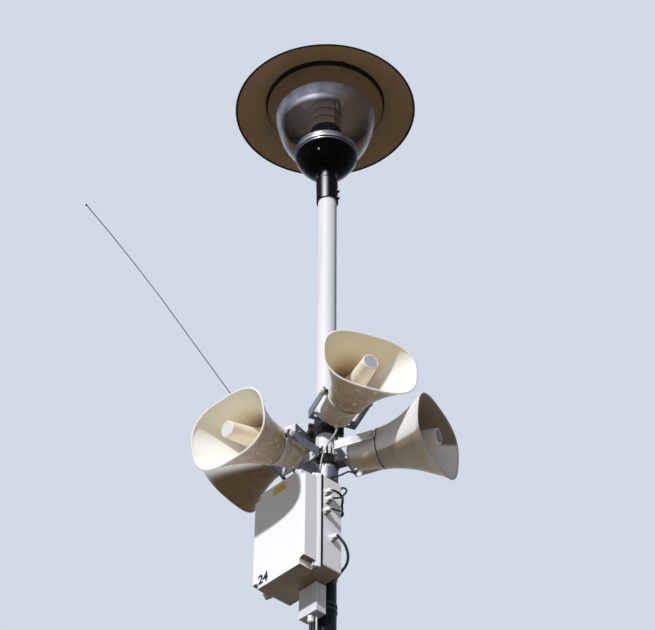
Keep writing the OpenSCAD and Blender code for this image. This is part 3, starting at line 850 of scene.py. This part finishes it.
def buildPanJoint(place, slope):  # the joint round the pan, painted black for the shade in the groove
    recess, head, deep = lamp["recess"], lamp["panHead"], lamp["jointDeep"]
    low = head - deep / math.tan(slope)
    groove = [
        (recess - deep, low), (recess - deep + 0.0006, low - 0.0004),
        (recess + 0.0008, head - 0.0008), (recess + 0.0009, head + 0.0084),
        (recess + 0.0002, head + 0.0088), (recess + 0.0001, head + 0.0004),
    ]
    piece = toPiece("lampGroove", turned(groove, steps=160, closed=True), place)
    seat(piece, "root", ["hatEdge"])


# Brackets

bracketParts = {
    "upper_clamp": ("clampUpper", "darkSteel", 0.0012),
    "left_arm": ("armLeft", "galvanised", 0.0012),
    "stirrup_top": ("stirrupTop", "galvanised", 0.0005),
    "stirrup_left": ("stirrupLeft", "galvanised", 0.0005),
    "stirrup_right": ("stirrupRight", "galvanised", 0.0005),
    "stirrup_back": ("stirrupBack", "galvanised", 0.0005),
    "cabinet_bracket": ("cabinetRails", "galvanised", 0.0006),
}

collar = {
    "foot": 4.857,
    "head": 4.889,
    "radius": 0.03015,
    "bars": 14,
    "barWide": 0.0078,
    "barThick": 0.0022,
    "cutRadius": 0.0415,
    "cutHigh": 0.05,
    "strapsBelow": 4.6,
}


def buildBrackets():
    for node, (name, finish, edge) in bracketParts.items():
        copyOf(node, name, "root", [finish], edge)
    buildLowerClamp()
    buildCollar()
    buildStraps()


def buildLowerClamp():  # its solid goes higher, so the top is cut off at the collar's foot
    clamp = copyOf("lower_clamp", "clampLower", "root", ["darkSteel"], 0)
    radius, high = collar["cutRadius"], collar["cutHigh"]
    work = turned([(0, 0), (radius, 0), (radius, high), (0, high)], steps=64)
    cutter = toPiece("clampCutter", work, Matrix.Translation((0, 0, collar["foot"])))
    bpy.context.collection.objects.link(cutter)
    cut = clamp.modifiers.new("cut", "BOOLEAN")
    cut.operation = "DIFFERENCE"
    cut.object = cutter
    bpy.context.view_layer.update()
    shown = clamp.evaluated_get(bpy.context.evaluated_depsgraph_get())
    mesh = bpy.data.meshes.new_from_object(shown)
    clamp.modifiers.remove(cut)
    bpy.data.objects.remove(cutter)
    clamp.data = mesh
    for face in mesh.polygons:
        face.material_index = 0
    rounded(clamp, 0.0006)


def buildCollar():
    radius, foot, head = collar["radius"], collar["foot"], collar["head"]
    base = [
        (radius - 0.0002, foot), (radius + 0.0004, foot), (radius + 0.0004, head - 0.002),
        (radius + 0.0001, head), (radius - 0.0002, head),
    ]
    work = turned(base, steps=64, closed=True)
    piece = toPiece("collarSleeve", work)
    seat(piece, "root", ["rubberBlack"], ["steel_bands"])
    work = bmesh.new()
    for step in range(collar["bars"]):
        bar = bmesh.ops.create_cube(work, size=1)["verts"]
        size = (collar["barThick"], collar["barWide"], head - foot)
        bmesh.ops.scale(work, vec=size, verts=bar)
        bmesh.ops.translate(work, vec=(radius + 0.0009, 0, (head + foot) / 2), verts=bar)
        turn = Matrix.Rotation((step + 0.3) * 2 * math.pi / collar["bars"], 3, "Z")
        bmesh.ops.rotate(work, cent=(0, 0, 0), matrix=turn, verts=bar)
    piece = toPiece("mastCollar", work)
    rounded(seat(piece, "root", ["slottedCollar"], ["steel_bands"]), 0.0007)


def buildStraps():  # the two black straps that hold the box's cables
    bands = copyOf("steel_bands", "boxStraps", "root", ["rubberBlack"], 0.0003)
    work = bmesh.new()
    work.from_mesh(bands.data)
    upper = [vert for vert in work.verts if vert.co.z > collar["strapsBelow"]]
    bmesh.ops.delete(work, geom=upper, context="VERTS")
    work.to_mesh(bands.data)
    work.free()


# Horns

horn = {
    "nod": {"top": 1.7, "left": 13.7, "right": 4.8, "back": 0.5},
    "mouthWide": 0.1428,
    "mouthHigh": 0.0966,
    "squareness": 2.82,
    "squareRate": 1.4,
    "straight": 0.15,
    "wideCurve": 1.7,
    "highCurve": 2.4,
    "length": 0.1807,
    "seamRadius": 0.061,
    "seamAt": 0.010,
    "wall": 0.003,
    "lip": 0.0032,
    "plugTip": 0.0245,
    "capRadius": 0.0195,
    "grooveAt": 0.008,
    "grooveHalf": 0.0022,
    "grooveRadius": 0.057,
    "around": 112,
    "rings": 18,
    "lipRings": 7,
}


def hornPlace(name):
    joint = joints[name + "_horn_tilt"]
    axis = Vector(joint["axis"])
    azimuth = math.atan2(-axis.x, axis.y)
    turn = Matrix.Rotation(azimuth, 4, "Z")
    nod = Matrix.Rotation(math.radians(horn["nod"][name]), 4, "Y")
    return Matrix.Translation(joint["pos_m"]) @ turn @ nod


def between(low, high, share):
    return low + (high - low) * share


def signedPower(value, power):
    return math.copysign(abs(value) ** power, value)


def flareSize(share, inset):
    straight = horn["straight"]
    widths = straight * share + (1 - straight) * share ** horn["wideCurve"]
    heights = straight * share + (1 - straight) * share ** horn["highCurve"]
    return (
        between(horn["seamAt"], horn["length"] - horn["lip"], share),
        between(horn["seamRadius"], horn["mouthWide"], widths) - inset,
        between(horn["seamRadius"], horn["mouthHigh"], heights) - inset,
        between(2, horn["squareness"], min(1, share * horn["squareRate"])),
    )


def flareSections():
    rings, lip, wall = horn["rings"], horn["lip"], horn["wall"]
    shares = [step / rings for step in range(rings + 1)]
    sections = [(*flareSize(share, 0), share, 0) for share in shares]
    start, wide, high, square = flareSize(1, wall / 2)
    for step in range(horn["lipRings"]):
        turn = math.radians(10 + 160 * step / (horn["lipRings"] - 1))
        reach = lip * math.cos(turn)
        inside = int(turn > math.pi / 2)
        sections.append((start + lip * math.sin(turn), wide + reach, high + reach, square, 1, inside))
    sections += [(*flareSize(share, wall), share, 1) for share in reversed(shares)]
    return sections


def setRing(verts, angles, layers, section):
    depth, wide, high, square, along, inside = section
    for vert in verts:
        side, up = math.cos(vert[angles]), math.sin(vert[angles])
        vert.co = (depth, wide * signedPower(side, 2 / square), high * signedPower(up, 2 / square))
        vert[layers[0]] = along
        vert[layers[1]] = inside


def buildFlare(name, place):
    work = bmesh.new()
    angles = work.verts.layers.float.new("turnAround")
    layers = [work.verts.layers.float.new(layer) for layer in ("along", "inside")]
    ring = bmesh.ops.create_circle(work, segments=horn["around"], radius=1)["verts"]
    for vert in ring:
        vert[angles] = math.atan2(vert.co.y, vert.co.x)
    sections = flareSections()
    setRing(ring, angles, layers, sections[0])
    edges = firstEdges = list(work.edges)
    for section in sections[1:]:
        grown = bmesh.ops.extrude_edge_only(work, edges=edges)["geom"]
        ring = [part for part in grown if isinstance(part, bmesh.types.BMVert)]
        setRing(ring, angles, layers, section)
        edges = [part for part in grown if isinstance(part, bmesh.types.BMEdge)]
    bmesh.ops.bridge_loops(work, edges=firstEdges + edges)
    bmesh.ops.recalc_face_normals(work, faces=work.faces)
    piece = toPiece(name + "HornFlare", work, place)
    seat(piece, name + "_horn", [name + "Plastic"], [f"horn_{name}_flare"], smoothAngle=60)


def buildPlug(name, place):
    tip, length, seam = horn["plugTip"], horn["length"], horn["seamAt"]
    outline = [
        (0, seam), (0.047, seam), (0.0465, 0.020), (0.045, 0.028), (0.0402, 0.045), (0.0346, 0.064),
        (0.0308, 0.076), (0.0291, 0.083), (0.0281, 0.094), (tip + 0.0003, length - 0.010),
        (tip, length - 0.003), (tip - 0.0006, length - 0.001), (tip - 0.0020, length),
        (0.0206, length), (0.0202, length - 0.0012), (0.0196, length - 0.0012),
        (0.0192, length - 0.0004), (0, length),
    ]
    work = turned(outline, steps=72)
    for face in work.faces:
        across, height = fromAxis(face)
        face.material_index = int(height > length - 0.002 and across < horn["capRadius"])
    lying = Matrix.Rotation(math.radians(90), 4, "Y")
    piece = toPiece(name + "HornPlug", work, place @ lying)
    paints = ["plugPlastic", hornTintsAndShades[name]["cap"]]
    seat(piece, name + "_horn", paints, [f"horn_{name}_plug"], smoothAngle=40)


def buildDriver(name, place):
    paints = [name + "Driver", "rubberBlack"]
    driver = copyOf(f"horn_{name}_driver", name + "HornDriver", name + "_horn", paints, 0.0006)
    driver.data.set_sharp_from_angle(angle=math.radians(50))
    level = place.inverted()
    for face in driver.data.polygons:
        spot = level @ face.center
        # the faces in the seam groove are painted black, for the shade in the groove
        beside = abs(spot.x - horn["grooveAt"]) < horn["grooveHalf"]
        face.material_index = int(beside and math.hypot(spot.y, spot.z) > horn["grooveRadius"])


def buildHorns():
    for name in horn["nod"]:
        place = hornPlace(name)
        buildFlare(name, place)
        buildPlug(name, place)
        buildDriver(name, place)


# Cabinet

cabinet = {
    "azimuth": math.radians(-137.3),
    "back": 0.038,
    "foot": 4.387,
    "wide": 0.213,
    "high": 0.308,
    "deep": 0.134,
    "base": 0.076,
    "gap": 0.003,
    "corner": 0.006,
    "lidHigh": 0.322,
    "lidMiddle": 0.145,
    "gasketDeep": 0.0104,
    "gasketProud": 0.0003,
    "lipInset": 0.003,
    "lipRise": 0.4,
}

label = {
    "patchSize": (0.052, 0.026),
    "patchThick": 0.0003,
    "patchCorner": 0.003,
    "patchProud": 0.00005,
    "patchAt": (-0.004, 4.6695),
    "number": "24",
    "numberSize": 0.041,
    "numberBold": 0.0015,
    "numberDeep": 0.0001,
    "numberSpacing": 0.95,
    "numberProud": 0.00015,
    "numberAt": (-0.063, 4.397),
}


cabinetTurn = Matrix.Rotation(cabinet["azimuth"], 4, "Z")


def cabinetPlace():
    return cabinetTurn @ Matrix.Translation((cabinet["back"], 0, cabinet["foot"]))


def byCabinet(*spot):
    return mm(*(cabinetTurn @ Vector(spot)))


def buildCabinet():
    copyOf("cabinet_base", "cabinetBase", "root", ["cabinetSide"], 0.0012)
    copyOf("cabinet_lid", "cabinetLid", "root", ["cabinetShell"], 0.0012)
    copyOf("junction_box", "junctionBox", "root", ["boxShell"], 0.0012)
    copyOf("cable_glands", "cableGlands", "root", ["cabinetShell"], 0.0005)
    buildGasket()
    buildLidRim()
    buildPatch()
    buildNumber()


def onLid(right, height, proud):
    face = cabinet["back"] + cabinet["deep"] + proud
    upright = Matrix(((0, 0, 1, face), (1, 0, 0, right), (0, 1, 0, height), (0, 0, 0, 1)))
    return cabinetTurn @ upright


def buildPatch():
    work = softBox((*label["patchSize"], label["patchThick"]), label["patchCorner"], 5, along=2)
    piece = toPiece("lidPatch", work, onLid(*label["patchAt"], label["patchProud"]))
    seat(piece, "root", ["patchYellow"])


def buildNumber():
    line = bpy.data.curves.new("lidNumber", "FONT")
    line.body = label["number"]
    line.size = label["numberSize"]
    line.extrude = label["numberDeep"]
    line.offset = label["numberBold"]
    line.align_x = line.align_y = "CENTER"
    line.space_character = label["numberSpacing"]
    mesh = bakedMesh(line)
    mesh.transform(onLid(*label["numberAt"], label["numberProud"]))
    seat(bpy.data.objects.new("lidNumber", mesh), "root", ["numberBlack"])


def buildGasket():
    # a rubber seal in the lid's gap, black also to stand in for the shade in the gap
    deep, edge = cabinet["gasketDeep"], 2 * cabinet["gasketProud"]
    size = (deep, cabinet["wide"] + edge, cabinet["high"] + edge)
    work = softBox(size, cabinet["corner"], 6, along=0)
    front = cabinet["base"] + cabinet["gap"] - 0.0001
    middle = Matrix.Translation((front - deep / 2, 0, cabinet["high"] / 2))
    piece = toPiece("lidGasket", work, cabinetPlace() @ middle)
    seat(piece, "root", ["rubberBlack"])


def buildLidRim():  # the lip that stands out round the lid's open side
    foot = cabinet["base"] + cabinet["gap"]
    wide, high = cabinet["wide"] / 2, cabinet["lidHigh"] / 2 - cabinet["lipInset"]
    work = bmesh.new()
    sections = [
        (0, -0.002), (0, 0.0030), (0.0006, 0.0040), (0.0016, 0.0044), (0.0026, 0.0043),
        (0.0130, 0.0002), (0.0130, -0.002),
    ]
    corners = [(1, 1), (-1, 1), (-1, -1), (1, -1)]
    loops = []
    for out, proud in sections:
        loop = bmesh.ops.create_circle(work, segments=4, radius=1)["verts"]
        for vert, (side, up) in zip(loop, corners):
            rise = up * (high + proud * cabinet["lipRise"])
            vert.co = (foot + out, side * (wide + proud), cabinet["lidMiddle"] + rise)
        loops.append({edge for vert in loop for edge in vert.link_edges})
    for first, second in zip(loops, loops[1:] + loops[:1]):
        bmesh.ops.bridge_loops(work, edges=list(first | second))
    bmesh.ops.recalc_face_normals(work, faces=work.faces)
    atCorners = [edge for edge in work.edges if edge.calc_length() < 0.02]
    bmesh.ops.bevel(
        work, geom=atCorners, offset=cabinet["corner"], offset_type="OFFSET", segments=5,
        profile=0.5, affect="EDGES", material=-1, clamp_overlap=True,
    )
    piece = toPiece("lidRim", work, cabinetPlace())
    seat(piece, "root", ["rimPlastic"], smoothAngle=40)


# Antenna and cables

routes = {  # in millimetres: first from the post, then in the cabinet's frame
    "top": {
        "post": [
            (26, -75, 4898), (17, -70, 4886), (7, -62, 4875), (-2, -53, 4860), (-7, -49, 4848),
            (-11, -45, 4834), (-13, -41, 4819), (-16, -37, 4799), (-19, -33, 4776),
        ],
        "cabinet": [
            (35, 18, 4745), (31, 36, 4716), (28, 60, 4698), (26, 84, 4672), (29, 97, 4650),
            (35, 103, 4638), (42, 112, 4637), (53, 121, 4636), (68, 128, 4633), (82, 131, 4631),
            (96, 126, 4631),
        ],
    },
    "left": {
        "post": [
            (-85, -88, 4737), (-75, -84, 4724), (-62, -80, 4714), (-46, -78, 4707),
            (-30, -74, 4703),
        ],
        "cabinet": [
            (58, 48, 4700), (42, 62, 4699), (28, 76, 4690), (23, 88, 4665), (24, 96, 4630),
            (29, 100, 4602), (36, 105, 4585), (37, 112, 4586), (44, 119, 4587), (59, 126, 4580),
            (74, 130, 4573), (88, 131, 4569), (99, 126, 4568),
        ],
    },
    "right": {
        "post": [
            (83, -45, 4779), (76, -46, 4781), (67, -45, 4784), (58, -43, 4782), (50, -40, 4779),
            (40, -37, 4776), (30, -35, 4775), (20, -34, 4773),
        ],
        "cabinet": [
            (10, 42, 4752), (13, 54, 4722), (17, 72, 4702), (23, 90, 4693), (31, 103, 4687),
            (33, 113, 4680), (33, 121, 4671), (37, 127, 4660), (46, 130, 4645), (57, 132, 4630),
            (70, 133, 4617), (83, 132, 4610), (92, 126, 4609),
        ],
    },
    "back": {
        "post": [
            (-74, 52, 4884), (-62, 48, 4866), (-50, 44, 4842), (-40, 42, 4812), (-20, 44, 4780),
            (10, 44, 4752), (36, 26, 4726),
        ],
        "cabinet": [
            (-17, 52, 4706), (0, 72, 4690), (14, 87, 4668), (25, 97, 4640), (37, 104, 4618),
            (43, 116, 4617), (48, 124, 4622), (55, 129, 4628), (65, 132, 4632), (76, 133, 4633),
            (88, 132, 4633), (96, 126, 4633),
        ],
    },
    "feed": {
        "cabinet": [
            (73, 125, 4490), (73, 129, 4489), (76, 134, 4484), (72, 139, 4475), (67, 143, 4466),
            (61, 146, 4455), (54, 146, 4442), (46, 142, 4431), (40, 134, 4420), (35, 122, 4412),
            (31, 105, 4408), (24, 86, 4408), (15, 66, 4411), (8, 50, 4417), (4, 39, 4420),
        ],
    },
    "boxBlack": {
        "cabinet": [
            (58, 8, 4276), (58, 8, 4269.5), (58, 8, 4240), (55, 8, 4205), (47, 9, 4183),
            (40, 10, 4177),
        ],
    },
    "boxGrey": {
        "cabinet": [
            (52, 24, 4291.5), (52, 24, 4250), (48, 21, 4205), (44, 16, 4186), (39, 14, 4178),
        ],
    },
}

cables = {
    "radii": {"top": 0.0021, "left": 0.0028, "right": 0.0028, "back": 0.0028},
    "sheaths": {
        "top": "cableGrey", "left": "rubberBlack", "right": "rubberBlack", "back": "rubberBlack",
    },
    "feedRadius": 0.004,
    "boxRadius": 0.005,
    "clipAt": {"top": 4, "left": 3, "right": 4, "back": 3},
    "hornGland": [mm(-74, 0, -50), mm(-74, 0, -57), mm(-73, 0, -64)],
}


def routeOf(name):
    route = routes[name]
    post = [mm(*spot) for spot in route.get("post", ())]
    return post + [byCabinet(*spot) for spot in route["cabinet"]]


def bakedMesh(line):  # a curve or words as a mesh
    holder = bpy.data.objects.new(line.name, line)
    bpy.context.collection.objects.link(holder)
    bpy.context.view_layer.update()
    shown = holder.evaluated_get(bpy.context.evaluated_depsgraph_get())
    mesh = bpy.data.meshes.new_from_object(shown)
    mesh.name = line.name
    mesh.materials.clear()
    bpy.data.objects.remove(holder)
    return mesh


def cablePiece(name, points, radius, sheath, body="root", nodes=()):
    line = bpy.data.curves.new(name, "CURVE")
    line.dimensions = "3D"
    line.bevel_depth = radius
    line.bevel_resolution = 3
    line.resolution_u = 8
    line.use_fill_caps = True
    spline = line.splines.new("BEZIER")
    spline.bezier_points.add(len(points) - 1)
    for knot, point in zip(spline.bezier_points, points):
        knot.co = point
        knot.handle_left_type = knot.handle_right_type = "AUTO"
    piece = bpy.data.objects.new(name, bakedMesh(line))
    return seat(piece, body, [sheath], nodes, smoothAngle=60)


def buildTail(name):  # the slack end of a lead, from its horn's gland
    gland = [hornPlace(name) @ Vector(point) for point in cables["hornGland"]]
    points = gland + routeOf(name)[:cables["clipAt"][name] + 1]
    radius, sheath = cables["radii"][name], cables["sheaths"][name]
    piece = cablePiece(name + "HornTail", points, radius, sheath, body=None)
    name + "_horn"
    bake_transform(piece)


def buildCables():
    for name, clip in cables["clipAt"].items():
        radius, sheath = cables["radii"][name], cables["sheaths"][name]
        cablePiece(name + "HornLead", routeOf(name)[clip:], radius, sheath, nodes=["horn_leads"])
    for name in cables["clipAt"]:
        buildTail(name)
    feed, box, thin = cables["feedRadius"], cables["boxRadius"], cables["radii"]["left"]
    cablePiece("feedLoop", routeOf("feed"), feed, "rubberBlack", nodes=["cabinet_loops"])
    cablePiece("boxFeed", routeOf("boxBlack"), box, "rubberBlack", nodes=["column_leads"])
    cablePiece("boxLead", routeOf("boxGrey"), thin, "cableGrey", nodes=["column_leads"])
    buildBushes()


bushes = {
    "boxBush": {"node": "column_leads", "spot": mm(33, 11, 4175), "turn": (90, "Y"), "radius": 0.014},
    "feedBush": {"node": "cabinet_loops", "spot": mm(4, 33, 4420), "turn": (-90, "X"), "radius": 0.009},
}


def buildBushes():  # where the cables enter the column
    for name, bush in bushes.items():
        angle, axis = bush["turn"]
        place = cabinetTurn @ Matrix.Translation(bush["spot"])
        radius = bush["radius"]
        outline = [
            (0, 0), (radius, 0), (radius, 0.002), (radius - 0.0012, 0.0032), (radius * 0.62, 0.0036),
            (radius * 0.55, 0.0048), (0, 0.0048),
        ]
        work = turned(outline, steps=32)
        piece = toPiece(name, work, place @ Matrix.Rotation(math.radians(angle), 4, axis))
        seat(piece, "root", ["rubberBlack"], [bush["node"]], smoothAngle=45)


def buildAntenna():
    copyOf("antenna_base", "antennaBase", "root", ["antennaBlack"], 0.0004)
    copyOf("antenna_whip", "antennaWhip", "root", ["antennaBlack"], 0)


def addFloor():
    work = bmesh.new()
    bmesh.ops.create_circle(work, segments=96, radius=studio["floorRadius"], cap_ends=True)
    floor = toPiece("floor", work)
    floor.data.materials.append(finishes["floorPaint"])
    bpy.context.collection.objects.link(floor)


stages = (
    buildColumn, buildLamp, buildBrackets, buildHorns, buildCabinet, buildCables, buildAntenna,
    addFloor,
)
for stage in stages:
    stage()
    print("done:", stage.__name__)
